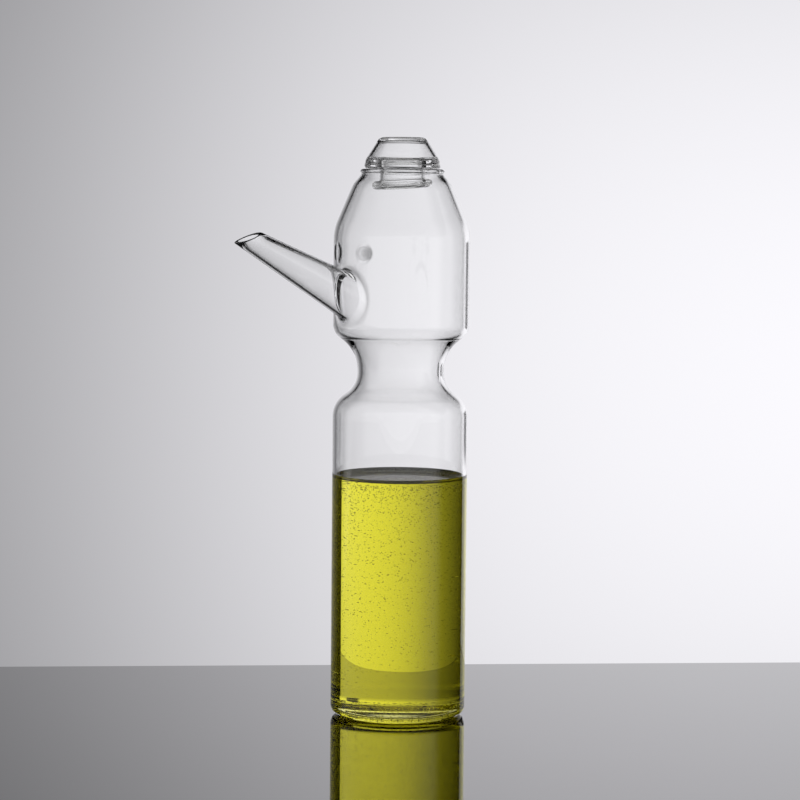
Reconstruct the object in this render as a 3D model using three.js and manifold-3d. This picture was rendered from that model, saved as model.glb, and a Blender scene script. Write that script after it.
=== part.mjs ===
// A hand-blown glass oil cruet: one waisted bottle with a slanting pouring spout, a hollow glass
// stopper that rests in its mouth, and the olive oil that fills the lower chamber.
// Millimetres, +Z up. The origin is the middle of the flat base, and the spout points along -X.
import * as THREE from "three";
import { mergeVertices } from "three/addons/utils/BufferGeometryUtils.js";
import Module from "manifold-3d";

const { degToRad, clamp, smoothstep } = THREE.MathUtils;
const wasm = await Module();
wasm.setup();

// Driving dimensions of the bottle, drawn from 60 mm glass tube
const BODY_RADIUS = 30;
const WALL = 1.7;
const BASE_THICKNESS = 2.6;
const BASE_CORNER = 4.5;
const SHOULDER_Z = 139.3;
const SHOULDER_ROUNDING = 11.5;
const WAIST_RADIUS = 19.1;
const WAIST_WALL = 2.2;
const WAIST_LOW_Z = 147.1;
const WAIST_HIGH_Z = 162.8;
const WAIST_LOW_ROUNDING = 11;
const WAIST_HIGH_ROUNDING = 17;
const CHAMBER_RADIUS = 30.1;
const CHAMBER_Z = 170.3;
const CHAMBER_ROUNDING = 7.5;
const CONE_Z = 216;
const CONE_ROUNDING = 24;
const CONE_TOP_RADIUS = 21.9; // where the cone bends further in, towards the mouth
const CONE_TOP_Z = 235.4;
const CONE_TOP_ROUNDING = 14;
const NECK_RADIUS = 18; // the narrowest place, just under the rolled lip
const NECK_Z = 240.6;
const LIP_RADIUS = 18.55;
const LIP_THICKNESS = 2.3;
const LIP_Z = 241.5; // where the rounding of the lip begins

// Driving dimensions of the spout
const SPOUT_Z = 187.5; // where its axis meets the chamber's outer face
const SPOUT_SLOPE = degToRad(25.5);
const SPOUT_LENGTH = 58.4; // along the axis, from the chamber's face to the cut
const SPOUT_ROOT_RADIUS = 9.6;
const SPOUT_TIP_RADIUS = 4.8;
const SPOUT_WALL = 1.4;
const SPOUT_FLARE = 1.6; // how much the fused joint widens the root
const SPOUT_FLARE_LENGTH = 6;
const SPOUT_BLEND_LENGTH = 24; // over which its rings turn from the chamber's face to square on
const CUT_SLOPE = degToRad(19.6); // the cut rises towards the bottle

// Driving dimensions of the two pressed dimples above the spout
const DIMPLE_Z = 206;
const DIMPLE_RADIUS = 3.7;
const DIMPLE_DEPTH = 2;
const DIMPLE_BEARING = degToRad(18.5); // to either side of the spout

// Driving dimensions of the hollow stopper
const STOPPER_TOP_Z = 256.6;
const STOPPER_TOP_RADIUS = 10.1;
const STOPPER_TOP_THICKNESS = 1.9;
const STOPPER_TOP_ROUNDING = 3.2;
const BRIM_RADIUS = 17.1;
const BRIM_Z = 242.6;
const BRIM_THICKNESS = 4.4;
const HEAD_WALL = 1.5;
const HEAD_FLOOR_DROP = 0.7; // how far the floor inside the head lies below the brim's edge
const PLUG_RADIUS = 10;
const PLUG_WALL = 1.2;
const BEAD_RADIUS = 13.4;
const BEAD_THICKNESS = 3.9;
const BEAD_Z = 233.8;
const BEAD_TILT = 0.055; // the bead was pressed a little out of level
const BEAD_TILT_BEARING = degToRad(-39);

// Driving dimensions of the oil
const OIL_Z = 106.3;
const MENISCUS_RISE = 1.1;
const MENISCUS_WIDTH = 2.6;
const OIL_GAP = 0.3;

// How finely round forms are cut
const BODY_SIDES = 48;
const STOPPER_SIDES = 32;
const SPOUT_SIDES = 24;
const BALL_SIDES = 20;
const CHORD_ERROR = 0.1;

// Turns corners [radius, height, rounding] into an outline whose corners are arcs.
function roundedOutline(corners) {
  const points = [];
  corners.forEach(([radius, height, rounding = 0], i) => {
    const corner = new THREE.Vector2(radius, height);
    if (rounding === 0) {
      points.push(corner);
      return;
    }
    const back = new THREE.Vector2(...corners[i - 1].slice(0, 2)).sub(corner).normalize();
    const ahead = new THREE.Vector2(...corners[i + 1].slice(0, 2)).sub(corner).normalize();
    const halfAngle = Math.acos(clamp(back.dot(ahead), -1, 1)) / 2;
    const inward = back.clone().add(ahead).normalize();
    const centre = corner.clone().addScaledVector(inward, rounding / Math.sin(halfAngle));
    const tangent = rounding / Math.tan(halfAngle);
    const start = corner.clone().addScaledVector(back, tangent);
    const end = corner.clone().addScaledVector(ahead, tangent);
    points.push(...arc(centre, start, end));
  });
  return points;
}

// The short arc about a centre, both ends included, in steps that stay within the chord error.
function arc(centre, start, end) {
  const from = start.clone().sub(centre);
  const to = end.clone().sub(centre);
  const sweep = Math.atan2(from.cross(to), from.dot(to));
  const largestStep = 2 * Math.acos(1 - CHORD_ERROR / from.length());
  const steps = Math.ceil(Math.abs(sweep) / largestStep);
  return Array.from({ length: steps + 1 }, (_, k) =>
    start.clone().rotateAround(centre, (sweep * k) / steps),
  );
}

// Turns an outline of [radius, height] points into a lathe body standing on +Z.
function turned(points, sides) {
  const geometry = new THREE.LatheGeometry(points, sides);
  geometry.rotateX(Math.PI / 2);
  return geometry;
}

// Moves every corner of a geometry by a function of its place.
function reshaped(geometry, move) {
  const place = geometry.attributes.position;
  const point = new THREE.Vector3();
  for (let i = 0; i < place.count; i += 1) {
    point.fromBufferAttribute(place, i);
    move(point);
    place.setXYZ(i, point.x, point.y, point.z);
  }
  return geometry;
}

// The solid of a closed geometry. Triangles that shrink to a line at a pole are left out.
function solidOf(geometry) {
  geometry.deleteAttribute("normal");
  geometry.deleteAttribute("uv");
  const merged = mergeVertices(geometry, 1e-4);
  const corners = merged.index.array;
  const triangles = [];
  for (let i = 0; i < corners.length; i += 3) {
    const [a, b, c] = corners.slice(i, i + 3);
    if (a !== b && b !== c && c !== a) {
      triangles.push(a, b, c);
    }
  }
  return new wasm.Manifold(
    new wasm.Mesh({
      numProp: 3,
      vertProperties: merged.attributes.position.array,
      triVerts: new Uint32Array(triangles),
    }),
  );
}

function namedMesh(name, solid, material) {
  const { vertProperties, triVerts } = solid.getMesh();
  const geometry = new THREE.BufferGeometry();
  geometry.setAttribute("position", new THREE.BufferAttribute(vertProperties, 3));
  geometry.setIndex(new THREE.BufferAttribute(triVerts, 1));
  const mesh = new THREE.Mesh(geometry, material);
  mesh.name = name;
  return mesh;
}

// The bottle's outline at a depth into its wall: 0 is the outer face and 1 the face of the cavity.
// Walls on a slope are as thick as on the straight, so the slope's corners also move along it.
function bottleOutline(depth) {
  const inset = WALL * depth;
  const waist = WAIST_RADIUS - WAIST_WALL * depth;
  return roundedOutline([
    [0, BASE_THICKNESS * depth],
    [BODY_RADIUS - inset, BASE_THICKNESS * depth, BASE_CORNER - 1.3 * depth],
    [BODY_RADIUS - inset, SHOULDER_Z - 0.9 * depth, SHOULDER_ROUNDING - inset],
    [waist, WAIST_LOW_Z - 0.6 * depth, WAIST_LOW_ROUNDING + inset],
    [waist, WAIST_HIGH_Z + 0.6 * depth, WAIST_HIGH_ROUNDING],
    [CHAMBER_RADIUS - inset, CHAMBER_Z + 0.9 * depth, CHAMBER_ROUNDING - inset],
    [CHAMBER_RADIUS - inset, CONE_Z - 0.4 * depth, CONE_ROUNDING - inset],
    [CONE_TOP_RADIUS - 1.08 * inset, CONE_TOP_Z - 0.3 * depth, CONE_TOP_ROUNDING],
    [NECK_RADIUS - inset, NECK_Z - 0.8 * depth, 0.5 + 1.5 * depth],
    [LIP_RADIUS - LIP_THICKNESS * depth, LIP_Z],
  ]);
}

// The bottle without its spout: outer face, fire-polished lip and cavity as one closed outline.
function bottleShell() {
  const outer = bottleOutline(0);
  const inner = bottleOutline(1).reverse();
  const lipCentre = outer.at(-1).clone().lerp(inner[0], 0.5);
  const crown = lipCentre.clone().add(new THREE.Vector2(0, LIP_THICKNESS / 2));
  const lip = [...arc(lipCentre, outer.at(-1), crown), ...arc(lipCentre, crown, inner[0]).slice(1)];
  return solidOf(turned([...outer.slice(0, -1), ...lip, ...inner.slice(1)], BODY_SIDES));
}

// Everything inside the middle of the wall, which trims what is fused to the cavity's face.
function insideMidWall() {
  const outline = bottleOutline(0.5);
  return solidOf(turned([...outline, new THREE.Vector2(0, outline.at(-1).y)], BODY_SIDES));
}

// The spout's radius at a distance from the chamber's face, with the fused flare at its root.
function spoutRadius(along) {
  const straight = THREE.MathUtils.lerp(SPOUT_ROOT_RADIUS, SPOUT_TIP_RADIUS, along / SPOUT_LENGTH);
  const nearRoot = clamp(1 - along / SPOUT_FLARE_LENGTH, 0, 1);
  return straight + SPOUT_FLARE * nearRoot ** 2.5;
}

// A body of rings along the spout. Near the root each ring lies parallel to the chamber's face.
function spoutBody(stations, radiusAt) {
  const sides = stations.map((along) => new THREE.Vector2(radiusAt(along), along));
  const ends = [stations[0], stations.at(-1)].map((along) => new THREE.Vector2(0, along));
  const geometry = turned([ends[0], ...sides, ends[1]], SPOUT_SIDES);
  geometry.rotateZ(Math.PI / SPOUT_SIDES);
  reshaped(geometry, (point) => {
    const fallBack = CHAMBER_RADIUS - Math.sqrt(CHAMBER_RADIUS ** 2 - point.y ** 2);
    const toFace = point.x * Math.tan(SPOUT_SLOPE) - fallBack / Math.cos(SPOUT_SLOPE);
    point.z += toFace * (1 - smoothstep(point.z, 0, SPOUT_BLEND_LENGTH));
  });
  geometry.rotateY(SPOUT_SLOPE - Math.PI / 2);
  geometry.translate(-CHAMBER_RADIUS, 0, SPOUT_Z);
  return solidOf(geometry);
}

// A block whose lower face is the plane that cuts the spout's tip.
function tipCutter() {
  const size = 60;
  const geometry = new THREE.BoxGeometry(size, size, size);
  geometry.translate(0, 0, size / 2);
  geometry.rotateY(-CUT_SLOPE);
  const tipX = -CHAMBER_RADIUS - SPOUT_LENGTH * Math.cos(SPOUT_SLOPE);
  const tipZ = SPOUT_Z + SPOUT_LENGTH * Math.sin(SPOUT_SLOPE);
  geometry.translate(tipX, 0, tipZ);
  return solidOf(geometry);
}

// The ball that presses a dimple, larger by the wall's thickness for the bump inside.
function dimpleBall(bearing, extra) {
  const radius = (DIMPLE_RADIUS ** 2 + DIMPLE_DEPTH ** 2) / (2 * DIMPLE_DEPTH);
  const distance = CHAMBER_RADIUS - DIMPLE_DEPTH + radius;
  const geometry = new THREE.SphereGeometry(radius + extra, BALL_SIDES, BALL_SIDES / 2);
  geometry.translate(-distance * Math.cos(bearing), distance * Math.sin(bearing), DIMPLE_Z);
  return solidOf(geometry);
}

function bottle() {
  const pastTip = SPOUT_LENGTH + 10;
  const flare = [0, 0.16, 0.36, 0.6, 1].map((share) => share * SPOUT_FLARE_LENGTH);
  const blend = [0.4, 0.6, 0.8, 1].map((share) => share * SPOUT_BLEND_LENGTH);
  const inWall = -WALL / 2;
  const inCavity = -9;
  const spout = spoutBody([inWall, ...flare, ...blend, pastTip], spoutRadius);
  const boreRadius = (along) =>
    spoutRadius(Math.max(along, SPOUT_FLARE_LENGTH)) - SPOUT_WALL;
  const bore = spoutBody([inCavity, 0, ...blend, pastTip + 1], boreRadius);
  let glass = bottleShell().add(spout).subtract(bore).subtract(tipCutter());
  for (const bearing of [-DIMPLE_BEARING, DIMPLE_BEARING]) {
    glass = glass.add(dimpleBall(bearing, WALL).intersect(insideMidWall()));
    glass = glass.subtract(dimpleBall(bearing, 0));
  }
  return glass;
}

// The hollow stopper: a cone-shaped head on a thick brim, and a plug tube that ends in a rolled,
// slightly tilted bead and is open at the bottom.
function stopper() {
  const headZ = BRIM_Z + BRIM_THICKNESS;
  const bore = PLUG_RADIUS - PLUG_WALL;
  const beadTop = BEAD_Z + BEAD_THICKNESS;
  const outer = roundedOutline([
    [0, STOPPER_TOP_Z],
    [STOPPER_TOP_RADIUS, STOPPER_TOP_Z, STOPPER_TOP_ROUNDING],
    [BRIM_RADIUS - 1, headZ, 5],
    [BRIM_RADIUS, BRIM_Z, 1.3],
    [PLUG_RADIUS, BRIM_Z + 0.9, 1.5],
    [PLUG_RADIUS, beadTop, 0.9],
    [BEAD_RADIUS, beadTop - 0.1, 1.4],
    [BEAD_RADIUS - 0.4, BEAD_Z, 1.3],
    [bore + 1.7, BEAD_Z + 0.4, 1.2],
    [bore, beadTop + 0.8, 2.4],
    [bore, headZ - HEAD_FLOOR_DROP, 1],
    [BRIM_RADIUS - 1 - HEAD_WALL, headZ - HEAD_FLOOR_DROP - 0.3, 1],
    [STOPPER_TOP_RADIUS - HEAD_WALL + 0.4, STOPPER_TOP_Z - STOPPER_TOP_THICKNESS, 2],
    [0, STOPPER_TOP_Z - STOPPER_TOP_THICKNESS],
  ]);
  const straightTubeZ = (beadTop + BRIM_Z) / 2;
  const geometry = turned(outer.reverse(), STOPPER_SIDES);
  return solidOf(
    reshaped(geometry, (point) => {
      const across = point.x * Math.cos(BEAD_TILT_BEARING) + point.y * Math.sin(BEAD_TILT_BEARING);
      point.z += BEAD_TILT * across * (1 - smoothstep(point.z, beadTop, straightTubeZ));
    }),
  );
}

// The oil up to its level, with the meniscus that climbs the glass.
function oil() {
  const radius = BODY_RADIUS - WALL - OIL_GAP;
  const bottom = BASE_THICKNESS + OIL_GAP;
  const below = roundedOutline([[0, bottom], [radius, bottom, BASE_CORNER - 1.4], [radius, OIL_Z]]);
  const meniscus = [1, 0.7, 0.4, 0].map(
    (share) =>
      new THREE.Vector2(
        radius - MENISCUS_WIDTH * (1 - share),
        OIL_Z + MENISCUS_RISE * share ** 2,
      ),
  );
  const middle = new THREE.Vector2(0, OIL_Z);
  return solidOf(turned([...below.slice(0, -1), ...meniscus, middle], BODY_SIDES));
}

const clearGlass = () =>
  new THREE.MeshStandardMaterial({
    color: 0xe9edee,
    roughness: 0.02,
    metalness: 0,
    transparent: true,
    opacity: 0.35,
  });

const oliveOil = () =>
  new THREE.MeshStandardMaterial({
    color: 0xc9bf2e,
    roughness: 0.05,
    metalness: 0,
    transparent: true,
    opacity: 0.85,
  });

const cruet = new THREE.Group();
cruet.add(
  namedMesh("bottle", bottle(), clearGlass()),
  namedMesh("stopper", stopper(), clearGlass()),
  namedMesh("oil", oil(), oliveOil()),
);

export default cruet;
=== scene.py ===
# %% [markdown]
# # A glass oil cruet
# The real one is blown from 60 mm glass tube: a bottle with a waist and a slanting spout, a hollow
# stopper that rests in its mouth, and green-yellow oil in the lower chamber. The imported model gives
# the frame, and this lesson dresses it with fine meshes and see-through materials.

import math

import bmesh
import bpy
import numpy as np
from mathutils import Matrix, Vector


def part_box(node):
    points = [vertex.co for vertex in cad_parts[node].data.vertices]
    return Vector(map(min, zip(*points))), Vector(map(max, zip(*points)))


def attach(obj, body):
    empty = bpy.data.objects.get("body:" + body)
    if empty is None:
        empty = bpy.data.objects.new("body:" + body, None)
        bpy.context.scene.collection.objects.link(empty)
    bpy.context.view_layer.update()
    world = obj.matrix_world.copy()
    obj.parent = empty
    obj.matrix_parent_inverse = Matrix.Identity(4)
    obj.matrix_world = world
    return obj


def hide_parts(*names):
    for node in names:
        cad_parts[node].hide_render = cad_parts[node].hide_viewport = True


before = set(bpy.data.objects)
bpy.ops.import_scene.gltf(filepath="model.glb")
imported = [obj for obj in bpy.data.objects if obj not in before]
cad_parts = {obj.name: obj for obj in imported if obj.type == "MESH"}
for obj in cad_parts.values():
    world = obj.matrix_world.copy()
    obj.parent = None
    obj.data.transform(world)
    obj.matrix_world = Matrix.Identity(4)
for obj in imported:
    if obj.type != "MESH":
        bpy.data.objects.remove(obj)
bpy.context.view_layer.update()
MM = 0.001


def top_of(node):
    """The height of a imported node's top, in millimetres."""
    _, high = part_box(node)
    return (high / MM).z


bottle_top, stopper_top, oil_top = top_of("bottle"), top_of("stopper"), top_of("oil")
print(f"bottle top {bottle_top:.1f} mm, stopper top {stopper_top:.1f} mm, oil to {oil_top:.1f} mm")

# %% [markdown]
# ## The camera
# The spout points along -X. The camera stands about as high as the mouth of the bottle, with the
# spout on its left and turned partly towards it. It comes first, because the studio is laid out by
# the directions ahead of it and to its right.

# %% The camera
PHOTO_WIDTH = 800
CAMERA_BEARING = math.radians(-38)
CAMERA_DISTANCE = 1.160
CAMERA_HEIGHT = 0.2348
CAMERA_PITCH = math.radians(4.64)
CAMERA_ROLL = 0.0095
CAMERA_LENS = 118.1
CAMERA_SENSOR = 36
CAMERA_SHIFT = -0.3 / PHOTO_WIDTH


def placed(name, content):
    """A new object that shows a mesh or a camera."""
    thing = bpy.data.objects.new(name, content)
    bpy.context.scene.collection.objects.link(thing)
    return thing


ahead = Vector((-math.sin(CAMERA_BEARING), math.cos(CAMERA_BEARING), 0))
rightward = Vector((ahead.y, -ahead.x, 0))
line_of_sight = ahead * math.cos(CAMERA_PITCH) - Vector((0, 0, math.sin(CAMERA_PITCH)))
upward = rightward.cross(line_of_sight)

camera = placed("camera", bpy.data.cameras.new("camera"))
camera.data.lens = CAMERA_LENS
camera.data.sensor_width = CAMERA_SENSOR
camera.data.shift_x = CAMERA_SHIFT
stand = -ahead * CAMERA_DISTANCE + Vector((0, 0, CAMERA_HEIGHT))
turn = Matrix((rightward, upward, -line_of_sight)).transposed() @ Matrix.Rotation(CAMERA_ROLL, 3, "Z")
camera.matrix_world = Matrix.LocRotScale(stand, turn, None)
bpy.context.scene.camera = camera
print("camera at", [round(x, 3) for x in camera.location])

# %% [markdown]
# ## Outlines with rounded corners
# Everything here was turned in a flame, so every section is an outline of straight runs joined by
# arcs. Corners are given as radius, height and rounding, and this helper cuts each corner into an
# arc. Long runs get a point close to each end, so that smooth shading stays true along them.

# %% Outline helpers
ARC_STEP = math.radians(4)
LONGEST_RUN = 7
RUN_END = 0.5


def unit(vector):
    return vector / np.linalg.norm(vector)


def arc(centre, start, end):
    spoke, last = start - centre, end - centre
    sweep = math.atan2(spoke[0] * last[1] - spoke[1] * last[0], spoke @ last)
    steps = max(2, math.ceil(abs(sweep) / ARC_STEP))
    angles = np.linspace(0, sweep, steps + 1)[:, None]
    across = np.array([-spoke[1], spoke[0]])
    return list(centre + spoke * np.cos(angles) + across * np.sin(angles))


def rounded_outline(corners):
    places = [np.array(corner[:2], float) for corner in corners]
    points = []
    for i, place in enumerate(places):
        rounding = corners[i][2] if len(corners[i]) > 2 else 0
        if rounding == 0:
            points.append(place)
            continue
        back = unit(places[i - 1] - place)
        forward = unit(places[i + 1] - place)
        half_angle = math.acos(np.clip(back @ forward, -1, 1)) / 2
        centre = place + unit(back + forward) * rounding / math.sin(half_angle)
        tangent = rounding / math.tan(half_angle)
        points.extend(arc(centre, place + back * tangent, place + forward * tangent))
    return np.array(points)


def with_run_ends(points):
    spaced = [points[0]]
    for start, end in zip(points[:-1], points[1:]):
        length = np.linalg.norm(end - start)
        if length > 4 * RUN_END:
            parts = max(1, math.ceil((length - 2 * RUN_END) / LONGEST_RUN))
            for along in np.linspace(RUN_END, length - RUN_END, parts + 1):
                spaced.append(start + (end - start) * along / length)
        spaced.append(end)
    return np.array(spaced)


square_corner = rounded_outline([(0, 0), (10, 0, 2), (10, 10)])
print(f"a square corner becomes an arc of {len(square_corner) - 2} points")

# %% [markdown]
# ## The wall of the bottle
# One function gives the outline at any depth into the wall: 0 is the outer face, 1 the face of the
# cavity, and a number between them lies inside the glass, which the oil needs later on. Where the
# wall turns, the cavity's corner lies a little higher or lower than the outer one. These shifts, each
# less than a millimetre, keep the wall about as thick in the bend as beside it.

# %% The wall of the bottle
BODY_RADIUS = 30
WALL = 1.7
BASE_THICKNESS = 2.6
BASE_ROUNDING = 4.5
FLOOR_ROUNDING = 3.2
SHOULDER_Z = 139.3
SHOULDER_SHIFT = 0.9
SHOULDER_ROUNDING = 11.5
WAIST_RADIUS = 19.1
WAIST_WALL = 2.2
WAIST_LOW_Z = 147.1
WAIST_HIGH_Z = 162.8
WAIST_SHIFT = 0.6
WAIST_LOW_ROUNDING = 11
WAIST_HIGH_ROUNDING = 17
CHAMBER_RADIUS = 30.1
CHAMBER_Z = 170.3
CHAMBER_ROUNDING = 7.5
CONE_Z = 216
CONE_SHIFT = 0.4
CONE_ROUNDING = 24
CONE_TOP_RADIUS = 21.9
CONE_TOP_WALL = 1.08 * WALL
CONE_TOP_Z = 235.4
CONE_TOP_SHIFT = 0.3
CONE_TOP_ROUNDING = 14
NECK_RADIUS = 18
NECK_Z = 240.6
NECK_SHIFT = 0.8
NECK_ROUNDING = 0.5
BORE_ROUNDING = 2.0
LIP_RADIUS = 18.55
LIP_THICKNESS = 2.3
LIP_Z = bottle_top - LIP_THICKNESS / 2


def between(outer, inner, depth):
    return outer + (inner - outer) * depth


def wall_outline(depth):
    inset = WALL * depth
    floor = BASE_THICKNESS * depth
    body = BODY_RADIUS - inset
    waist = WAIST_RADIUS - WAIST_WALL * depth
    chamber = CHAMBER_RADIUS - inset
    cone_top = CONE_TOP_RADIUS - CONE_TOP_WALL * depth
    return rounded_outline([
        (0, floor),
        (body, floor, between(BASE_ROUNDING, FLOOR_ROUNDING, depth)),
        (body, SHOULDER_Z - SHOULDER_SHIFT * depth, SHOULDER_ROUNDING - inset),
        (waist, WAIST_LOW_Z - WAIST_SHIFT * depth, WAIST_LOW_ROUNDING + inset),
        (waist, WAIST_HIGH_Z + WAIST_SHIFT * depth, WAIST_HIGH_ROUNDING),
        (chamber, CHAMBER_Z + SHOULDER_SHIFT * depth, CHAMBER_ROUNDING - inset),
        (chamber, CONE_Z - CONE_SHIFT * depth, CONE_ROUNDING - inset),
        (cone_top, CONE_TOP_Z - CONE_TOP_SHIFT * depth, CONE_TOP_ROUNDING),
        (NECK_RADIUS - inset, NECK_Z - NECK_SHIFT * depth, between(NECK_ROUNDING, BORE_ROUNDING, depth)),
        (LIP_RADIUS - LIP_THICKNESS * depth, LIP_Z),
    ])


FACES = {depth: wall_outline(depth) for depth in (0, 1)}
print(f"the outer face has {len(FACES[0])} outline points, the cavity {len(FACES[1])}")

# %% [markdown]
# ## Pressed dimples
# Two small round dimples lie above the spout, pressed into the soft wall from outside. The glass
# gathered behind the tool, so the inner face bulges further than the outer one is dented, and each
# dimple is a small lens. A function gives how far a face moves inward at a bearing from the spout and
# a height. The middle of the wall tells the two faces apart.

# %% Pressed dimples
DIMPLE_Z = 206
DIMPLE_REACH = 3.9
DIMPLE_DENT = 0.6
DIMPLE_BULGE = 1.2
DIMPLE_BEARING = math.radians(18.5)


def pressed_in(bearing, radius, height):
    across = CHAMBER_RADIUS * (np.abs(bearing) - DIMPLE_BEARING)
    reach = np.hypot(across, height - DIMPLE_Z) / DIMPLE_REACH
    depth = np.where(radius > CHAMBER_RADIUS - WALL / 2, DIMPLE_DENT, DIMPLE_BULGE)
    return depth * np.maximum(1 - reach ** 2, 0)


def wall_radius(depth, height):
    outline = FACES[depth]
    chamber = outline[:, 1] > (WAIST_LOW_Z + WAIST_HIGH_Z) / 2
    return np.interp(height, outline[chamber, 1], outline[chamber, 0])


def around(bearing, radius, height):
    """Places on the wall, with the dimples pressed in."""
    pressed = radius - pressed_in(bearing, radius, height)
    level = height + 0 * pressed
    return np.stack([-pressed * np.cos(bearing), pressed * np.sin(bearing), level], -1)


thick = WALL + DIMPLE_BULGE - DIMPLE_DENT
print(f"a dimple is dented {DIMPLE_DENT} mm deep, and its glass is {thick:.1f} mm thick")

# %% [markdown]
# ## Rows and columns of the wall
# The wall is a grid of rows up the outline and columns round the axis. Near the spout and the dimples
# both are about 0.6 mm apart. Elsewhere the columns are twice as wide, and the rows are the points of
# the outline. A nearly square window is left open on both faces, and the spout's own mesh is sewn into
# it afterwards, so that glass runs from wall to spout without a seam.

# %% Rows and columns of the wall
FINE_COLUMN = math.radians(1.25)
WINDOW_CELLS = 50
COARSE_COLUMNS = 119
WINDOW_LOW_Z = 171.5
FINE_ROW = 0.6277
FINE_ROWS = 66
ROW_CLEARANCE = 0.2

window_bearings = FINE_COLUMN * np.arange(-WINDOW_CELLS // 2, WINDOW_CELLS // 2 + 1)
coarse_bearings = np.linspace(window_bearings[-1], window_bearings[0] + 2 * math.pi, COARSE_COLUMNS + 1)
columns = np.concatenate([window_bearings, coarse_bearings[1:-1]])
fine_heights = WINDOW_LOW_Z + FINE_ROW * np.arange(FINE_ROWS)


def wall_rows(depth):
    """The rows of one face as radius and height, and the number of them below the fine ones."""
    outline = with_run_ends(FACES[depth])
    chamber = np.arange(len(outline)) > np.argmin(np.abs(outline[:, 1] - WAIST_HIGH_Z))
    below = outline[~chamber | (outline[:, 1] < fine_heights[0] - ROW_CLEARANCE)]
    above = outline[chamber & (outline[:, 1] > fine_heights[-1] + ROW_CLEARANCE)]
    fine = np.stack([wall_radius(depth, fine_heights), fine_heights], -1)
    return np.concatenate([below, fine, above]), len(below)


outer_rows, outer_window = wall_rows(0)
inner_rows, inner_window = wall_rows(1)
lip_middle = (outer_rows[-1] + inner_rows[-1]) / 2
lip_crown = lip_middle + [0, LIP_THICKNESS / 2]
lip_rows = arc(lip_middle, outer_rows[-1], lip_crown)[1:] + arc(lip_middle, lip_crown, inner_rows[-1])[1:-1]
rows = np.concatenate([outer_rows, lip_rows, inner_rows[::-1]])
inner_window_row = len(rows) - inner_window - WINDOW_CELLS - 1
print(f"the wall has {len(rows)} rows and {len(columns)} columns")

# %% [markdown]
# ## The spout
# The spout is a tapering tube whose axis climbs away from the chamber. Its root was melted into the
# wall, so wall and tube meet in a rounded fillet, outside and inside. Its end was cut at a slant and
# fire-polished. The mesh is a sheet of rings: from the window's edge on the outer face, up the
# fillet, along the tube, over the lip, back down the bore and out to the window's edge inside. Each
# ring starts at the window's lower corner on the -Y side. The lip is a cubic curve, and such a curve
# bulges three quarters as far as the two points that pull it.

# %% The spout's measures
SPOUT_Z = 187.5
SPOUT_SLOPE = math.radians(25.5)
SPOUT_LENGTH = 58.4
SPOUT_ROOT_RADIUS = 9.6
SPOUT_TIP_RADIUS = 4.8
SPOUT_WALL = 1.4
CUT_SLOPE = math.radians(19.6)
LIP_POLISH = 1.0
CURVE_BULGE = 0.75
SPOUT_SIDES = {
    0: {"thinner": 0, "spread": 1.42, "climb": 2.6},
    1: {"thinner": SPOUT_WALL, "spread": 1.22, "climb": 3.0},
}
RING_POINTS = 4 * WINDOW_CELLS
RING_START = math.radians(225)
SEARCH_STEPS = 40

spout_root = np.array([-CHAMBER_RADIUS, 0, SPOUT_Z])
spout_axis = np.array([-math.cos(SPOUT_SLOPE), 0, math.sin(SPOUT_SLOPE)])
spout_up = np.array([math.sin(SPOUT_SLOPE), 0, math.cos(SPOUT_SLOPE)])
spout_side = np.array([0, 1, 0])
cut_normal = np.array([-math.sin(CUT_SLOPE), 0, math.cos(CUT_SLOPE)])
ring_angles = RING_START + 2 * math.pi * np.arange(RING_POINTS) / RING_POINTS


def tube_point(along, depth):
    radius = SPOUT_ROOT_RADIUS + (SPOUT_TIP_RADIUS - SPOUT_ROOT_RADIUS) * along / SPOUT_LENGTH
    radius = (radius - SPOUT_SIDES[depth]["thinner"])[:, None]
    sideways = np.cos(ring_angles)[:, None] * spout_side + np.sin(ring_angles)[:, None] * spout_up
    return spout_root + along[:, None] * spout_axis + radius * sideways


def along_at_wall(depth):
    """How far along the spout's axis each line of the tube meets the wall, found step by step."""
    along = np.zeros(RING_POINTS)
    for _ in range(SEARCH_STEPS):
        x, y, z = tube_point(along, depth).T
        along += (wall_radius(depth, z) - np.hypot(x, y)) / math.cos(SPOUT_SLOPE)
    return along


def along_at_cut(depth):
    """How far along the axis each line of the tube ends, just short of the slanting cut."""
    radius = SPOUT_TIP_RADIUS - SPOUT_SIDES[depth]["thinner"]
    short_of_plane = CURVE_BULGE * LIP_POLISH * (cut_normal @ spout_axis)
    rise = radius * np.sin(ring_angles) * (cut_normal @ spout_up)
    return SPOUT_LENGTH - (short_of_plane + rise) / (cut_normal @ spout_axis)


leaving = along_at_wall(0)
print(f"the spout leaves the wall {leaving.min():.1f} to {leaving.max():.1f} mm along its axis")

# %% The spout's rings
PATCH_RINGS = 7
FILLET_RINGS = 8
TUBE_RINGS = 13
LIP_RINGS = 7
FILLET_PULL = 0.55


def window_edge():
    """Bearings and heights round the edge of the window, one for each point of a ring."""
    level = np.ones(WINDOW_CELLS)
    low, high = fine_heights[0] * level, fine_heights[WINDOW_CELLS] * level
    left, right = window_bearings[0] * level, window_bearings[-1] * level
    climbing, falling = fine_heights[:WINDOW_CELLS], fine_heights[WINDOW_CELLS:0:-1]
    bearings = np.concatenate([window_bearings[:-1], right, window_bearings[:0:-1], left])
    return bearings, np.concatenate([low, climbing, high, falling])


def cubic_curve(points, steps):
    """Places along a curve between the first and last of four points, without its start."""
    start, start_pull, end_pull, end = points
    curve = []
    for gone in np.linspace(0, 1, steps + 1)[1:]:
        left = 1 - gone
        first_half = left ** 3 * start + 3 * left ** 2 * gone * start_pull
        second_half = 3 * left * gone ** 2 * end_pull + gone ** 3 * end
        curve.append(first_half + second_half)
    return curve


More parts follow.
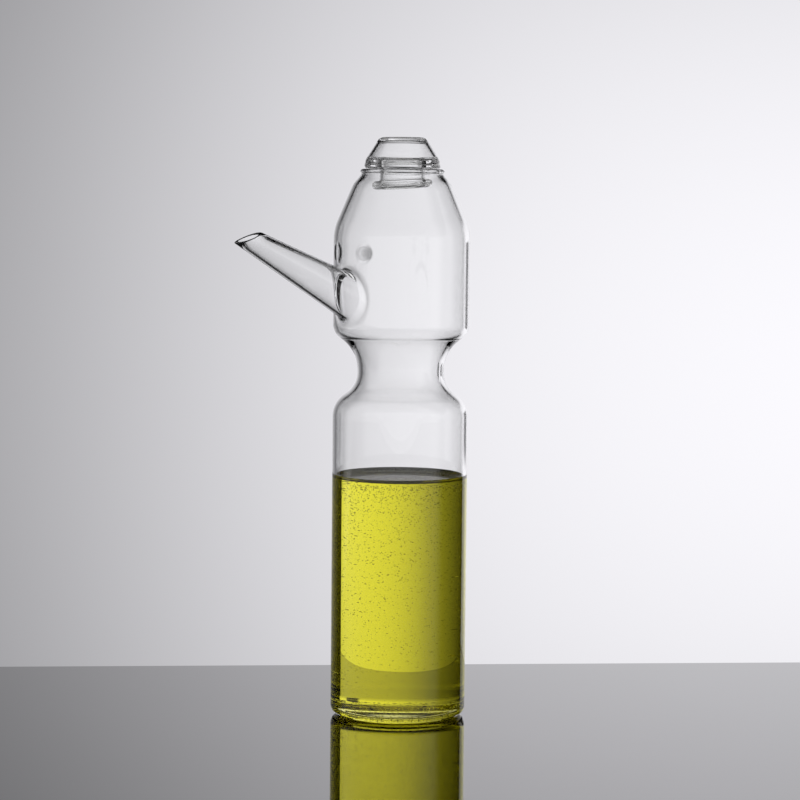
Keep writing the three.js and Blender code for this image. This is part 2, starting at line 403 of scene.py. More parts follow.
def face_rings(depth):
    """Rings on one face, from the window's edge to the spout's cut."""
    spread, climb = SPOUT_SIDES[depth]["spread"], SPOUT_SIDES[depth]["climb"]
    meeting = along_at_wall(depth)
    x, y, z = tube_point(meeting, depth).T
    start_bearing = spread * np.arctan2(y, -x)
    start_height = SPOUT_Z + spread * (z - SPOUT_Z)
    edge_bearing, edge_height = window_edge()
    rings = []
    for share in np.linspace(0, 1, PATCH_RINGS + 1):
        bearing = edge_bearing + share * (start_bearing - edge_bearing)
        height = edge_height + share * (start_height - edge_height)
        rings.append(around(bearing, wall_radius(depth, height), height))
    start, corner, end = rings[-1], tube_point(meeting, depth), tube_point(meeting + climb, depth)
    pulled_start = start + FILLET_PULL * (corner - start)
    pulled_end = end + FILLET_PULL * (corner - end)
    rings += cubic_curve((start, pulled_start, pulled_end, end), FILLET_RINGS)
    straight = along_at_cut(depth) - meeting - climb
    for share in np.linspace(0, 1, TUBE_RINGS + 1)[1:]:
        rings.append(tube_point(meeting + climb + share * straight, depth))
    return rings


outer_rings = face_rings(0)
inner_rings = face_rings(1)
over_lip = LIP_POLISH * spout_axis
lip_points = (outer_rings[-1], outer_rings[-1] + over_lip, inner_rings[-1] + over_lip, inner_rings[-1])
spout_rings = outer_rings + cubic_curve(lip_points, LIP_RINGS)[:-1] + inner_rings[::-1]
print(f"the spout has {len(spout_rings)} rings of {RING_POINTS} points")

# %% [markdown]
# ## Sewing the bottle together
# Grid and rings are written as plain faces. Points that fall together are merged, which closes the
# poles and sews the spout in, and then every face is turned outward. A closed mesh has exactly two
# faces at every edge, which is worth checking before any glass material is put on it.

# %% A closed mesh
MERGE_DISTANCE = 1e-6
CM3_IN_M3 = 1e6


def finished(piece):
    """Merges, turns outward, shades smooth and measures a piece whose mesh should be closed."""
    shape = bmesh.new()
    shape.from_mesh(piece.data)
    bmesh.ops.remove_doubles(shape, verts=shape.verts, dist=MERGE_DISTANCE)
    bmesh.ops.dissolve_degenerate(shape, edges=shape.edges, dist=MERGE_DISTANCE / 10)
    bmesh.ops.delete(shape, geom=[v for v in shape.verts if not v.link_faces], context="VERTS")
    bmesh.ops.recalc_face_normals(shape, faces=shape.faces)
    if shape.calc_volume(signed=True) < 0:
        bmesh.ops.reverse_faces(shape, faces=shape.faces)
    for face in shape.faces:
        face.smooth = True
    open_edges = sum(not edge.is_manifold for edge in shape.edges)
    volume = shape.calc_volume(signed=True) * CM3_IN_M3
    triangles = sum(len(face.verts) - 2 for face in shape.faces)
    shape.to_mesh(piece.data)
    shape.free()
    print(f"{piece.name}: {triangles} triangles, {volume:.2f} cm3, {open_edges} open edges")
    return piece


print(f"points closer than {MERGE_DISTANCE / MM} mm become one")

# %% The bottle


def grid_faces(first, row_count, column_count, kept=lambda row, column: True):
    """Faces between rows of points, closed round the axis. The first point has the given number."""
    faces = []
    for row in range(row_count - 1):
        for column in range(column_count):
            if kept(row, column):
                here, there = first + row * column_count, first + (row + 1) * column_count
                beside = (column + 1) % column_count
                faces.append((here + column, here + beside, there + beside, there + column))
    return faces


def outside_window(row, column):
    in_rows = any(start <= row < start + WINDOW_CELLS for start in (outer_window, inner_window_row))
    return not (in_rows and column < WINDOW_CELLS)


wall_points = around(columns[None, :], rows[:, :1], rows[:, 1:]).reshape(-1, 3)
wall_faces = grid_faces(0, len(rows), len(columns), outside_window)
spout_faces = grid_faces(len(wall_points), len(spout_rings), RING_POINTS)
bottle_points = np.concatenate([wall_points, *spout_rings]) * MM
bottle_mesh = bpy.data.meshes.new("bottle_glass")
bottle_mesh.from_pydata(bottle_points.tolist(), [], wall_faces + spout_faces)
bottle = finished(placed("bottle_glass", bottle_mesh))

# %% [markdown]
# ## Nodes as sums
# Both materials and Geometry Nodes are networks of sockets. A wire stands for one output socket, and
# adding or multiplying wires adds the Math node that does it. Every other node comes from one method,
# which takes the node's type, its settings, and the values or wires for its sockets.

# %% A wire


class Wire:
    def __init__(self, bench, socket):
        self.bench, self.socket = bench, socket

    def math(self, operation, *others):
        return self.bench.math(operation, self, *others)

    def __add__(self, other):
        return self.math("ADD", other)

    def __radd__(self, other):
        return self.math("ADD", other)

    def __sub__(self, other):
        return self.math("SUBTRACT", other)

    def __rsub__(self, other):
        return self.bench.math("SUBTRACT", other, self)

    def __mul__(self, other):
        return self.math("MULTIPLY", other)

    def __rmul__(self, other):
        return self.math("MULTIPLY", other)

    def __truediv__(self, other):
        return self.math("DIVIDE", other)

    def __rtruediv__(self, other):
        return self.bench.math("DIVIDE", other, self)

    def __pow__(self, other):
        return self.math("POWER", other)


print("a wire can be added, subtracted, multiplied, divided and raised")

# %% A bench of nodes


class Bench:
    def __init__(self, tree):
        self.tree = tree
        tree.nodes.clear()

    def add(self, kind, settings=None, sockets=None, output=0):
        node = self.tree.nodes.new(kind)
        for name, value in (settings or {}).items():
            setattr(node, name, value)
        for key, value in (sockets or {}).items():
            if isinstance(value, Wire):
                self.tree.links.new(value.socket, node.inputs[key])
            else:
                node.inputs[key].default_value = value
        return Wire(self, node.outputs[output]) if node.outputs else node

    def math(self, operation, *values):
        return self.add("ShaderNodeMath", {"operation": operation}, dict(enumerate(values)))

    def smooth_step(self, value, low, high):
        sockets = {"Value": value, "From Min": low, "From Max": high}
        return self.add("ShaderNodeMapRange", {"interpolation_type": "SMOOTHSTEP"}, sockets)

    def parts(self, vector):
        node = self.add("ShaderNodeSeparateXYZ", {}, {0: vector}).socket.node
        return [Wire(self, node.outputs[i]) for i in range(3)]

    def turned_place(self, radius, angle, height):
        """A place from its distance to the axis, its angle round it and its height."""
        sockets = {"X": radius * angle.math("COSINE"), "Y": radius * angle.math("SINE"), "Z": height}
        return self.add("ShaderNodeCombineXYZ", {}, sockets)


def material_bench(name):
    """A new material, its empty bench, and a wire with the place on the object."""
    material = bpy.data.materials.new(name)
    material.use_nodes = True
    bench = Bench(material.node_tree)
    return material, bench, bench.add("ShaderNodeTexCoord", {}, {}, "Object")


print("a bench adds nodes to one tree")

# %% [markdown]
# ## Geometry trees that run once
# A Geometry Nodes tree has named inputs, so that one tree makes several pieces. It is run as a
# modifier, and the result is then kept as a plain mesh.

# %% Geometry trees that run once


def geometry_bench(name, inputs):
    """An empty geometry tree with its named inputs, given as name: (socket type, first value)."""
    tree = bpy.data.node_groups.new(name, "GeometryNodeTree")
    tree.interface.new_socket("Geometry", in_out="OUTPUT", socket_type="NodeSocketGeometry")
    tree.interface.new_socket("Geometry", in_out="INPUT", socket_type="NodeSocketGeometry")
    for label, (kind, value) in inputs.items():
        socket = tree.interface.new_socket(label, in_out="INPUT", socket_type=kind)
        if value is not None:
            socket.default_value = value
    bench = Bench(tree)
    group_input = tree.nodes.new("NodeGroupInput")
    return bench, {socket.name: Wire(bench, socket) for socket in group_input.outputs if socket.name}


def made_by(tree, name, start_mesh, values):
    """Runs a tree once on a mesh and keeps the result as the plain mesh of a new piece."""
    piece = placed(name, start_mesh)
    modifier = piece.modifiers.new(tree.name, "NODES")
    modifier.node_group = tree
    tree_inputs = [item for item in tree.interface.items_tree if item.in_out == "INPUT"]
    identifiers = {item.name: item.identifier for item in tree_inputs}
    for label, value in values.items():
        modifier[identifiers[label.replace("_", " ")]] = value
    evaluated = piece.evaluated_get(bpy.context.evaluated_depsgraph_get())
    mesh = bpy.data.meshes.new_from_object(evaluated)
    piece.modifiers.remove(modifier)
    piece.data = mesh
    return piece


print("a tree is run once and its result kept")

# %% [markdown]
# ## A tree that turns an outline
# Stopper and oil are bodies of revolution, so one Geometry Nodes tree makes both: a flat grid gets a
# row for every outline point and a column for every step round the axis, and each point of the grid
# is moved to its place. A lean can be given, because the stopper's bead was pressed out of level.

# %% A tree that turns an outline
turned, given = geometry_bench("turned_outline", {
    "Columns": ("NodeSocketInt", 120),
    "Lean": ("NodeSocketFloat", 0.0),
    "Lean bearing": ("NodeSocketFloat", 0.0),
    "Lean full below": ("NodeSocketFloat", 0.0),
    "Level above": ("NodeSocketFloat", 1.0),
    "Material": ("NodeSocketMaterial", None),
})
outline = given["Geometry"]
row_count = turned.add("GeometryNodeAttributeDomainSize", {"component": "MESH"}, {"Geometry": outline})
grid = turned.add("GeometryNodeMeshGrid", {}, {"Vertices X": given["Columns"] + 1, "Vertices Y": row_count})
index = turned.add("GeometryNodeInputIndex")
row = index.math("FLOORED_MODULO", row_count)
column = (index / row_count).math("FLOOR")
angle = column * (2 * math.pi) / given["Columns"]
outline_point = turned.add(
    "GeometryNodeSampleIndex",
    {"data_type": "FLOAT_VECTOR", "domain": "POINT"},
    {"Geometry": outline, "Value": turned.add("GeometryNodeInputPosition"), "Index": row},
)
radius, _, height = turned.parts(outline_point)
place = turned.turned_place(radius, angle, height)
shaped = turned.add("GeometryNodeSetPosition", {}, {"Geometry": grid, "Position": place})
sewn = turned.add("GeometryNodeMergeByDistance", {}, {"Geometry": shaped, "Distance": MERGE_DISTANCE})
x, y, z = turned.parts(turned.add("GeometryNodeInputPosition"))
across = x * given["Lean bearing"].math("COSINE") + y * given["Lean bearing"].math("SINE")
level = turned.smooth_step(z, given["Lean full below"], given["Level above"])
rise = turned.add("ShaderNodeCombineXYZ", {}, {"Z": given["Lean"] * across * (1 - level)})
leaning = turned.add("GeometryNodeSetPosition", {}, {"Geometry": sewn, "Offset": rise})
realized = turned.add("GeometryNodeRealizeInstances", {}, {"Geometry": leaning})
painted = turned.add("GeometryNodeSetMaterial", {}, {"Geometry": realized, "Material": given["Material"]})
turned.add("NodeGroupOutput", {}, {"Geometry": painted})


def turned_piece(name, outline_mm, **values):
    line = bpy.data.meshes.new(name)
    points = [(r * MM, 0, z * MM) for r, z in outline_mm]
    line.from_pydata(points, [(i, i + 1) for i in range(len(points) - 1)], [])
    return finished(made_by(turned.tree, name, line, values))


print(f"the turning tree has {len(turned.tree.nodes)} nodes")

# %% [markdown]
# ## Where the glass changes
# Oil bends light as much as this glass does, so the wetted part of the cavity can't be seen at all.
# A mask is a wire that is 1 in one part of a piece and 0 elsewhere. The first one finds the points
# that lie inside the wall's middle and below the oil's edge, and the second the two dimples, where a
# little grey is painted on as shade, with a soft rim.

# %% Masks in the glass
OIL_EDGE_Z = oil_top + 0.5
DIMPLE_RIM = ((DIMPLE_REACH - 1) * MM, (DIMPLE_REACH - 0.3) * MM)


def off_axis(bench, here):
    """The distance from the bottle's axis, and the height."""
    x, y, z = bench.parts(here)
    return (x * x + y * y) ** 0.5, z


def wetted(bench, here):
    """1 on the face of the cavity below the oil's edge, 0 elsewhere."""
    radius, height = off_axis(bench, here)
    inside = radius.math("LESS_THAN", (BODY_RADIUS - WALL / 2) * MM)
    above_floor = height.math("GREATER_THAN", BASE_THICKNESS / 2 * MM)
    return inside * above_floor * height.math("LESS_THAN", OIL_EDGE_Z * MM)


def in_dimples(bench, here):
    """Where the painted shade goes: 1 in the two dimples and 0 away from them, with a soft rim between."""
    x, y, z = bench.parts(here)
    along = x + CHAMBER_RADIUS * math.cos(DIMPLE_BEARING) * MM
    sideways = y.math("ABSOLUTE") - CHAMBER_RADIUS * math.sin(DIMPLE_BEARING) * MM
    level = z - DIMPLE_Z * MM
    distance = (along * along + sideways * sideways + level * level) ** 0.5
    return 1 - bench.smooth_step(distance, *DIMPLE_RIM)


print(f"the oil wets the glass up to {OIL_EDGE_Z:.1f} mm")

# %% [markdown]
# ## Clear glass
# Borosilicate glass is nearly colourless, so its look is all refraction: index 1.47, no roughness.
# Drawn tube is never perfect: very faint ridges run along it, and a slow unevenness goes round it.
# Both are noise in a Bump, the first one stretched along the tube. They are far too weak to see but
# enough to make a reflection waver. The first mask makes the wetted glass vanish, by an Alpha of 0,
# and the second darkens the Base Color in the dimples, which is painted shade.

# %% Clear glass
GLASS_INDEX = 1.47
GLASS_TINT = (0.997, 0.999, 0.998)
DIMPLE_SHADE = 0.5
RIDGE_SCALE = 220
RIDGE_STRETCH = (1, 1, 0.06)
RIDGE_SHARE = 0.3
SWELL_SCALE = 38


# Painted shade: the Base Color is darkened in the dimples, for the shade seen through them.
def dimple_painted_shade(bench, here):
    left_clear = 1 - (1 - DIMPLE_SHADE) * in_dimples(bench, here)
    shades = {channel: left_clear * share for channel, share in zip(("Red", "Green", "Blue"), GLASS_TINT)}
    return bench.add("ShaderNodeCombineColor", {}, shades)


def clear_glass(name, unevenness, colour=None, hidden=None):
    """Glass whose unevenness is in millimetres, with functions for its colour and painted shade, and for
    what is hidden.
    """
    material, bench, here = material_bench(name)
    stretched = bench.add("ShaderNodeMapping", {}, {"Vector": here, "Scale": RIDGE_STRETCH})
    ridges = bench.add("ShaderNodeTexNoise", {}, {"Vector": stretched, "Scale": RIDGE_SCALE, "Detail": 2})
    swell = bench.add("ShaderNodeTexNoise", {}, {"Vector": here, "Scale": SWELL_SCALE, "Detail": 1})
    bump = bench.add(
        "ShaderNodeBump",
        {},
        {"Height": ridges * RIDGE_SHARE + swell, "Strength": 1, "Distance": unevenness * MM},
    )
    shader = bench.add("ShaderNodeBsdfPrincipled", {}, {
        "Base Color": colour(bench, here) if colour else (*GLASS_TINT, 1),
        "Roughness": 0.0,
        "IOR": GLASS_INDEX,
        "Transmission Weight": 1.0,
        "Normal": bump,
        "Alpha": 1 - hidden(bench, here) if hidden else 1.0,
    })
    bench.add("ShaderNodeOutputMaterial", {}, {"Surface": shader})
    return material


# The bottle's glass carries the painted shade of the dimples.
bottle_finish = clear_glass("bottle_clear_glass", 0.03, dimple_painted_shade, wetted)
stopper_finish = clear_glass("stopper_clear_glass", 0.02)
bottle.data.materials.append(bottle_finish)
print("glass index", GLASS_INDEX)

# %% [markdown]
# ## The stopper
# The stopper is one hollow blown piece: a cone-shaped head on a thick brim, and a plug tube that ends
# in a rolled bead and is open below. The outline runs down the outside and back up the bore.

# %% The stopper
STOPPER_TOP_RADIUS = 10.1
STOPPER_TOP_THICKNESS = 1.9
STOPPER_TOP_ROUNDING = 3.2
STOPPER_ROOF_ROUNDING = 2
BRIM_RADIUS = 17.1
BRIM_TAPER = 1
BRIM_Z = 242.6
BRIM_THICKNESS = 4.4
BRIM_TOP_ROUNDING = 5
BRIM_ROUNDING = 1.3
HEAD_WALL = 0.8
HEAD_ROOF_STEP = 0.4
HEAD_FLOOR_DROP = 0.7
HEAD_FLOOR_FALL = 0.3
HEAD_FLOOR_ROUNDING = 1
PLUG_RADIUS = 10
PLUG_WALL = 1.2
PLUG_ROOT_RISE = 0.9
PLUG_ROOT_ROUNDING = 1.5
BEAD_RADIUS = 13.4
BEAD_THICKNESS = 3.9
BEAD_Z = 233.8
BEAD_TOP_FALL = 0.1
BEAD_ROOT_ROUNDING = 0.9
BEAD_TOP_ROUNDING = 1.5
BEAD_FOOT_TAPER = 0.2
BEAD_FOOT_ROUNDING = 2.1
MOUTH_FLARE = 0.9
MOUTH_RISE = 0.3
MOUTH_ROUNDING = 1.6
BORE_STARTS_ABOVE_BEAD = 0.8
BORE_START_ROUNDING = 2.4
BEAD_TILT = 0.055
BEAD_TILT_BEARING = math.radians(-39)
STOPPER_COLUMNS = 120

brim_top = BRIM_Z + BRIM_THICKNESS
brim_top_radius = BRIM_RADIUS - BRIM_TAPER
head_floor = brim_top - HEAD_FLOOR_DROP
head_roof = stopper_top - STOPPER_TOP_THICKNESS
bore = PLUG_RADIUS - PLUG_WALL
bead_top = BEAD_Z + BEAD_THICKNESS
stopper_outline = rounded_outline([
    (0, stopper_top),
    (STOPPER_TOP_RADIUS, stopper_top, STOPPER_TOP_ROUNDING),
    (brim_top_radius, brim_top, BRIM_TOP_ROUNDING),
    (BRIM_RADIUS, BRIM_Z, BRIM_ROUNDING),
    (PLUG_RADIUS, BRIM_Z + PLUG_ROOT_RISE, PLUG_ROOT_ROUNDING),
    (PLUG_RADIUS, bead_top, BEAD_ROOT_ROUNDING),
    (BEAD_RADIUS, bead_top - BEAD_TOP_FALL, BEAD_TOP_ROUNDING),
    (BEAD_RADIUS - BEAD_FOOT_TAPER, BEAD_Z, BEAD_FOOT_ROUNDING),
    (bore + MOUTH_FLARE, BEAD_Z + MOUTH_RISE, MOUTH_ROUNDING),
    (bore, bead_top + BORE_STARTS_ABOVE_BEAD, BORE_START_ROUNDING),
    (bore, head_floor, HEAD_FLOOR_ROUNDING),
    (brim_top_radius - HEAD_WALL, head_floor - HEAD_FLOOR_FALL, HEAD_FLOOR_ROUNDING),
    (STOPPER_TOP_RADIUS - HEAD_WALL + HEAD_ROOF_STEP, head_roof, STOPPER_ROOF_ROUNDING),
    (0, head_roof),
])
stopper = turned_piece(
    "stopper_glass",
    with_run_ends(stopper_outline),
    Material=stopper_finish,
    Columns=STOPPER_COLUMNS,
    Lean=BEAD_TILT,
    Lean_bearing=BEAD_TILT_BEARING,
    Lean_full_below=bead_top * MM,
    Level_above=(bead_top + BRIM_Z) / 2 * MM,
)

# %% [markdown]
# ## The oil
# Oil wets the glass, so nothing lies between them. In the render the oil's mesh reaches a little into
# the wall: a ray then enters the oil just before it leaves the glass, and no thin layer of air shows.
# Its colour comes from its depth, so it is a volume that absorbs blue strongly and green and red less.
# Only its open surface bends light. Where it wets the glass its Alpha is 0, as the glass's is. A Mix
# Shader lays a dull dark grey over the open surface alone, which is painted shade.

# %% The oil's finish
MENISCUS_RISE = 1.9
MENISCUS_MARGIN = 0.3
OIL_TINT = (0.935, 0.918, 0.02)
OIL_DENSITY = 66
OIL_SWELL_SCALE = 30
OIL_SWELL_HEIGHT = 0.004
# Painted shade: a dark grey mixed over the oil's open surface.
OIL_SURFACE_SHADE_SHARE = 0.58
OIL_SURFACE_SHADE_COLOUR = (0.05, 0.05, 0.035)


def open_surface(bench, here):
    """1 on the oil's surface inside the cavity, 0 where the oil wets glass."""
    radius, height = off_axis(bench, here)
    inside = radius.math("LESS_THAN", (BODY_RADIUS - WALL) * MM)
    return inside * height.math("GREATER_THAN", (OIL_EDGE_Z - MENISCUS_RISE - MENISCUS_MARGIN) * MM)


def olive_oil():
    material, bench, here = material_bench("olive_oil")
    swell = bench.add("ShaderNodeTexNoise", {}, {"Vector": here, "Scale": OIL_SWELL_SCALE, "Detail": 1})
    bump = bench.add(
        "ShaderNodeBump",
        {},
        {"Height": swell, "Strength": 1, "Distance": OIL_SWELL_HEIGHT * MM},
    )
    surface = open_surface(bench, here)
    shader = bench.add("ShaderNodeBsdfPrincipled", {}, {
        "Base Color": (1, 1, 1, 1),
        "Roughness": 0.0,
        "IOR": GLASS_INDEX,
        "Transmission Weight": 1.0,
        "Normal": bump,
        "Alpha": surface,
    })
    # The dark diffuse is painted shade on the open surface.
    surface_shade = bench.add("ShaderNodeBsdfDiffuse", {}, {"Color": (*OIL_SURFACE_SHADE_COLOUR, 1)})
    shade_over_surface = bench.add("ShaderNodeMixShader", {}, {0: surface * OIL_SURFACE_SHADE_SHARE, 1: shader, 2: surface_shade})
    depth = bench.add("ShaderNodeVolumeAbsorption", {}, {"Color": (*OIL_TINT, 1), "Density": OIL_DENSITY})
    bench.add("ShaderNodeOutputMaterial", {}, {"Surface": shade_over_surface, "Volume": depth})
    return material


oil_finish = olive_oil()
print("oil absorbs per metre:", [round(OIL_DENSITY * (1 - shade), 1) for shade in OIL_TINT])

# %% The oil
OIL_IN_WALL = 0.91
OIL_COLUMNS = 144
MENISCUS_REACH = 1.1
MENISCUS_RINGS = 26
MENISCUS_RING_REACH = 5
MENISCUS_RING_GROWTH = 1.4
MIDDLE_RINGS = [15, 8, 0]

oil_level = OIL_EDGE_Z - MENISCUS_RISE
oil_radius = BODY_RADIUS - WALL * OIL_IN_WALL
cavity_radius = BODY_RADIUS - WALL
ring_steps = np.linspace(0, MENISCUS_RING_REACH, MENISCUS_RINGS) ** MENISCUS_RING_GROWTH
surface_radii = np.concatenate([oil_radius - ring_steps, MIDDLE_RINGS])
from_glass = np.minimum(surface_radii - cavity_radius, 0)
surface_heights = oil_level + MENISCUS_RISE * np.exp(from_glass / MENISCUS_REACH)
oil_floor = wall_outline(OIL_IN_WALL)
oil_floor = oil_floor[oil_floor[:, 1] < oil_level / 2]
oil_outline = np.concatenate([oil_floor, np.stack([surface_radii, surface_heights], -1)])
oil = turned_piece("oil_body", with_run_ends(oil_outline), Material=oil_finish, Columns=OIL_COLUMNS)

# %% [markdown]
# ## Fine bubbles
# Poured oil keeps many tiny bubbles, which crowd towards its surface, and a layer of them lies on the
# floor of the bottle. A tree scatters points in a cylinder and sets a small sphere on each. Most
# bubbles cling near the glass, so the draw of the distance from the axis has a power of its own. A
# bubble is air inside oil, so its index is one divided by the oil's.

# %% A tree of bubbles
bubbled, given = geometry_bench("scattered_bubbles", {
    "Count": ("NodeSocketInt", 100),
    "Reach": ("NodeSocketFloat", 0.028),
    "Lowest": ("NodeSocketFloat", 0.0),
    "Highest": ("NodeSocketFloat", 0.1),
    "Crowding": ("NodeSocketFloat", 2.0),
    "Spread": ("NodeSocketFloat", 0.5),
    "Smallest": ("NodeSocketFloat", 0.0002),
    "Largest": ("NodeSocketFloat", 0.0003),
    "Seed": ("NodeSocketInt", 1),
    "Material": ("NodeSocketMaterial", None),
})


def drawn(low, high, step):
    """A random number for each point, from its own seed."""
    sockets = {2: low, 3: high, "Seed": given["Seed"] + step}
    return bubbled.add("FunctionNodeRandomValue", {"data_type": "FLOAT"}, sockets, 1)


angle = drawn(0.0, 2 * math.pi, 0)
radius = given["Reach"] * drawn(0.0, 1.0, 1) ** given["Spread"]
drop = (given["Highest"] - given["Lowest"]) * drawn(0.0, 1.0, 2) ** given["Crowding"]
place = bubbled.turned_place(radius, angle, given["Highest"] - drop)
points = bubbled.add("GeometryNodePoints", {}, {"Count": given["Count"], "Position": place})
ball = bubbled.add("GeometryNodeMeshUVSphere", {}, {"Segments": 6, "Rings": 4, "Radius": 1.0})
size = drawn(given["Smallest"], given["Largest"], 3)
balls = bubbled.add("GeometryNodeInstanceOnPoints", {}, {"Points": points, "Instance": ball, "Scale": size})
realized = bubbled.add("GeometryNodeRealizeInstances", {}, {"Geometry": balls})
painted = bubbled.add("GeometryNodeSetMaterial", {}, {"Geometry": realized, "Material": given["Material"]})
bubbled.add("NodeGroupOutput", {}, {"Geometry": painted})
print(f"the tree of bubbles has {len(bubbled.tree.nodes)} nodes")

# %% Air in oil
SKIN_SCALE = 900
SKIN_STRENGTH = 0.2
SKIN_HEIGHT = 0.002


def air_in_oil():
    material, bench, here = material_bench("air_in_oil")
    fineness = bench.add("ShaderNodeTexNoise", {}, {"Vector": here, "Scale": SKIN_SCALE})
    skin = bench.add(
        "ShaderNodeBump",
        {},
        {"Height": fineness, "Strength": SKIN_STRENGTH, "Distance": SKIN_HEIGHT * MM},
    )
    glass = bench.add("ShaderNodeBsdfGlass", {}, {"Roughness": 0.0, "IOR": 1 / GLASS_INDEX, "Normal": skin})
    bench.add("ShaderNodeOutputMaterial", {}, {"Surface": glass})
    return material


air = air_in_oil()
print(f"a bubble's index is {1 / GLASS_INDEX:.2f}")

# %% The bubbles


def bubbles(name, **values):
    piece = made_by(bubbled.tree, name, bpy.data.meshes.new(name), {"Material": air, **values})
    for face in piece.data.polygons:
        face.use_smooth = True
    print(f"{name}: {len(piece.data.polygons)} faces")
    return piece


rising = bubbles(
    "bubbles_rising",
    Count=5000,
    Reach=(cavity_radius - 0.5) * MM,
    Lowest=8 * MM,
    Highest=(oil_level - 1.5) * MM,
    Crowding=2.1,
    Spread=0.15,
    Smallest=0.1 * MM,
    Largest=0.2 * MM,
    Seed=11,
)
resting = bubbles(
    "bubbles_resting",
    Count=900,
    Reach=(cavity_radius - 2.2) * MM,
    Lowest=(BASE_THICKNESS + 0.25) * MM,
    Highest=(BASE_THICKNESS + 0.7) * MM,
    Crowding=1.0,
    Spread=0.5,
    Smallest=0.1 * MM,
    Largest=0.22 * MM,
    Seed=23,
)

# %% [markdown]
# ## The backdrop
# The photograph's background is a softly lit wall, darker on the left. Here it is one large glowing
# sheet behind the cruet. Its glow is a function of the place on the sheet: a rise from left to right
# in two soft steps, and a slow fall towards top and bottom, where it ends in the dark. A dark flag
# hangs out of the picture on the right, as photographers hang one: the inner face of a wall bends a
# ray that far, so it draws the thin dark line along the right side of the empty glass. It hangs
# between the heights that are seen through the oil and those that the table mirrors into its foot.

# %% The backdrop's glow
STEP_SHARES = (0.75, 0.26)
STEP_MIDDLES = (-0.2, -1.0)
STEP_WIDTHS = (0.1725, 0.35)
BRIGHTEST_Z = 0.075
FALL = 1.3
LEAST_FALLEN = 0.5
DARK_BELOW = (-0.55, -0.28)
DARK_ABOVE = (0.44, 0.64)
GLOW_COLOUR = (0.99, 0.98, 1.02, 1)
FLAG_FROM = (0.48, 0.57)
FLAG_TO = (0.82, 0.90)
FLAG_LOW = (-0.045, -0.02)
FLAG_HIGH = (0.18, 0.21)
FLAG_DEPTH = 0.95


def measured_along(bench, place, direction):
    dot = {"operation": "DOT_PRODUCT"}
    return bench.add("ShaderNodeVectorMath", dot, {0: place, 1: direction}, "Value")


def rise_at(value, middle, width):
    """A soft step from 0 to 1 about a middle."""
    return 1 / (1 + ((value - middle) * (-1 / width)).math("EXPONENT"))


def band(bench, value, start, end):
    """1 between two soft edges, each given as its two ends, and 0 outside them."""
    return bench.smooth_step(value, *start) * (1 - bench.smooth_step(value, *end))


def backdrop_glow():
    material, bench, here = material_bench("backdrop_glow")
    across = measured_along(bench, here, rightward)
    _, _, height = bench.parts(here)
    steps = zip(STEP_SHARES, STEP_MIDDLES, STEP_WIDTHS)
    first_step, second_step = [share * rise_at(across, middle, width) for share, middle, width in steps]
    falling = (1 - FALL * (height - BRIGHTEST_Z) ** 2).math("MAXIMUM", LEAST_FALLEN)
    falling = falling * band(bench, height, DARK_BELOW, DARK_ABOVE)
    flag = band(bench, across, FLAG_FROM, FLAG_TO) * band(bench, height, FLAG_LOW, FLAG_HIGH)
    glowing = (first_step + second_step) * falling * (1 - FLAG_DEPTH * flag)
    emission = bench.add("ShaderNodeEmission", {}, {"Color": GLOW_COLOUR, "Strength": glowing})
    bench.add("ShaderNodeOutputMaterial", {}, {"Surface": emission})
    return material


glow = backdrop_glow()
print(f"the glow is made by {len(glow.node_tree.nodes)} nodes")

# %% The backdrop
BACKDROP_DISTANCE = 1.25
BACKDROP_LEFT, BACKDROP_RIGHT = -1.7, 1.235
BACKDROP_LOW, BACKDROP_HIGH = -1.0, 1.3


def panel(name, corners, material):
    """A flat sheet of the studio, which is not a piece of the cruet."""
    mesh = bpy.data.meshes.new(name)
    mesh.from_pydata([tuple(corner) for corner in corners], [], [tuple(range(len(corners)))])
    mesh.materials.append(material)
    sheet = placed(name, mesh)
    return sheet


def backdrop_point(across, height):
    return ahead * BACKDROP_DISTANCE + rightward * across + Vector((0, 0, height))


backdrop = panel("backdrop", [
    backdrop_point(BACKDROP_LEFT, BACKDROP_LOW),
    backdrop_point(BACKDROP_RIGHT, BACKDROP_LOW),
    backdrop_point(BACKDROP_RIGHT, BACKDROP_HIGH),
    backdrop_point(BACKDROP_LEFT, BACKDROP_HIGH),
], glow)
print("backdrop", BACKDROP_DISTANCE, "m behind the cruet")

# %% [markdown]
# ## The table
# The table top is a dark polished plate whose pale grey is the backdrop that it mirrors, so the oil's
# reflection stays clear and yellow. It lies a hair below the base: glass that touched it over the
# whole base would let light through to it, and the oil's floor would go dark.

# %% The table
TABLE_EDGE = 0.120
TABLE_EDGE_TURN = 0.082
TABLE_HALF_WIDTH = 1.5
TABLE_FRONT = -1.2
TABLE_SHADE = 0.27
TABLE_CLOUDING = 0.06
TABLE_GAP = 0.05 * MM


def table_finish():
    material, bench, here = material_bench("table_top")
    cloud = bench.add("ShaderNodeTexNoise", {}, {"Vector": here, "Scale": 9, "Detail": 3})
    shade = TABLE_SHADE * (1 - TABLE_CLOUDING / 2 + TABLE_CLOUDING * cloud)
    grey = bench.add("ShaderNodeCombineColor", {}, {"Red": shade, "Green": shade, "Blue": shade})
    shader = bench.add("ShaderNodeBsdfPrincipled", {}, {
        "Base Color": grey,
        "Roughness": 0.03,
        "Metallic": 1.0,
    })
    bench.add("ShaderNodeOutputMaterial", {}, {"Surface": shader})
    return material


def table_point(across, forward):
    return rightward * across + ahead * forward - Vector((0, 0, TABLE_GAP))


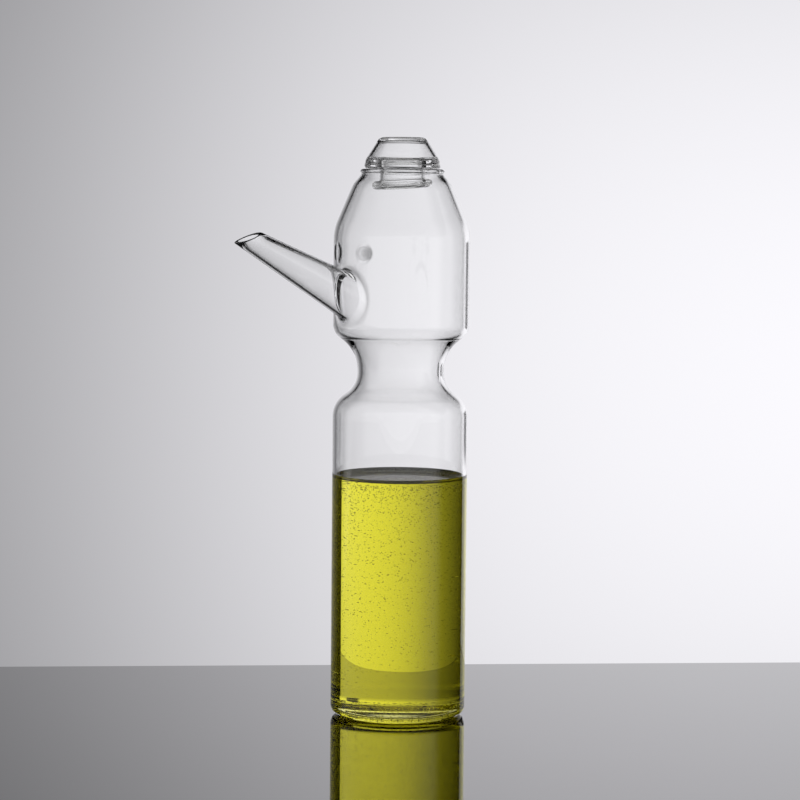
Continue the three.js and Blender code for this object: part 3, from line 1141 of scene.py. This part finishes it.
table = panel("table", [
    table_point(-TABLE_HALF_WIDTH, TABLE_FRONT),
    table_point(TABLE_HALF_WIDTH, TABLE_FRONT),
    table_point(TABLE_HALF_WIDTH, TABLE_EDGE + TABLE_EDGE_TURN * TABLE_HALF_WIDTH),
    table_point(-TABLE_HALF_WIDTH, TABLE_EDGE - TABLE_EDGE_TURN * TABLE_HALF_WIDTH),
], table_finish())
print("table edge", TABLE_EDGE, "m behind the axis")

# %% [markdown]
# ## Studio light
# Glass shows its edges by what it bends into view. All that lies ahead, round the glowing backdrop, is
# dark, and that draws the thin dark lines along walls and rims. Behind the camera the room is pale and
# turned a little to the left, so its reflection lightens the glass evenly and the oil's left side most.
# A pale ceiling lights what is seen from above.

# %% Studio light
ROOM_SHADE = 0.98
ROOM_COLOUR = (0.99, 0.985, 1.0, 1)
DARK_SHADE = 0.005
TURNED_LEFT = 0.35
PALE_UP_TO, DARK_FROM = -0.2, 0.2
CEILING = 0.45
CEILING_FROM = (0.64, 0.8)


def studio_light():
    world = bpy.data.worlds.new("studio")
    world.use_nodes = True
    bench = Bench(world.node_tree)
    direction = bench.add("ShaderNodeTexCoord", {}, {}, "Generated")
    to_right = measured_along(bench, direction, rightward)
    to_front = measured_along(bench, direction, ahead)
    pale = 1 - bench.smooth_step(to_front + TURNED_LEFT * to_right, PALE_UP_TO, DARK_FROM)
    _, _, to_top = bench.parts(direction)
    overhead = CEILING * bench.smooth_step(to_top, *CEILING_FROM)
    light = DARK_SHADE + (ROOM_SHADE - DARK_SHADE) * pale.math("MAXIMUM", overhead)
    background = bench.add("ShaderNodeBackground", {}, {"Color": ROOM_COLOUR, "Strength": light})
    bench.add("ShaderNodeOutputWorld", {}, {"Surface": background})
    return world


bpy.context.scene.world = studio_light()
print("room", ROOM_SHADE, "dark", DARK_SHADE)

# %% [markdown]
# ## Colours and bounces
# The Standard view shows brightness without the soft curve of a film. A ray that crosses stopper,
# bottle, oil and bubbles meets many faces one after the other, and it goes black when it runs out of
# bounces, so it gets many.

# %% Colours and bounces
GLASS_BOUNCES = 32
MIRROR_BOUNCES = 12

scene = bpy.context.scene
scene.view_settings.view_transform = "Standard"
scene.cycles.max_bounces = GLASS_BOUNCES
scene.cycles.transmission_bounces = GLASS_BOUNCES
scene.cycles.transparent_max_bounces = GLASS_BOUNCES
scene.cycles.glossy_bounces = MIRROR_BOUNCES
print(f"a ray goes through {GLASS_BOUNCES} faces at most")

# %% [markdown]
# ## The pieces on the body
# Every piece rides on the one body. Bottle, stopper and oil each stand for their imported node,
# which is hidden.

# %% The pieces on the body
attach(bottle, "root")
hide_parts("bottle")
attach(stopper, "root")
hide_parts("stopper")
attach(oil, "root")
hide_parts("oil")
for scattered in (rising, resting):
    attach(scattered, "root")
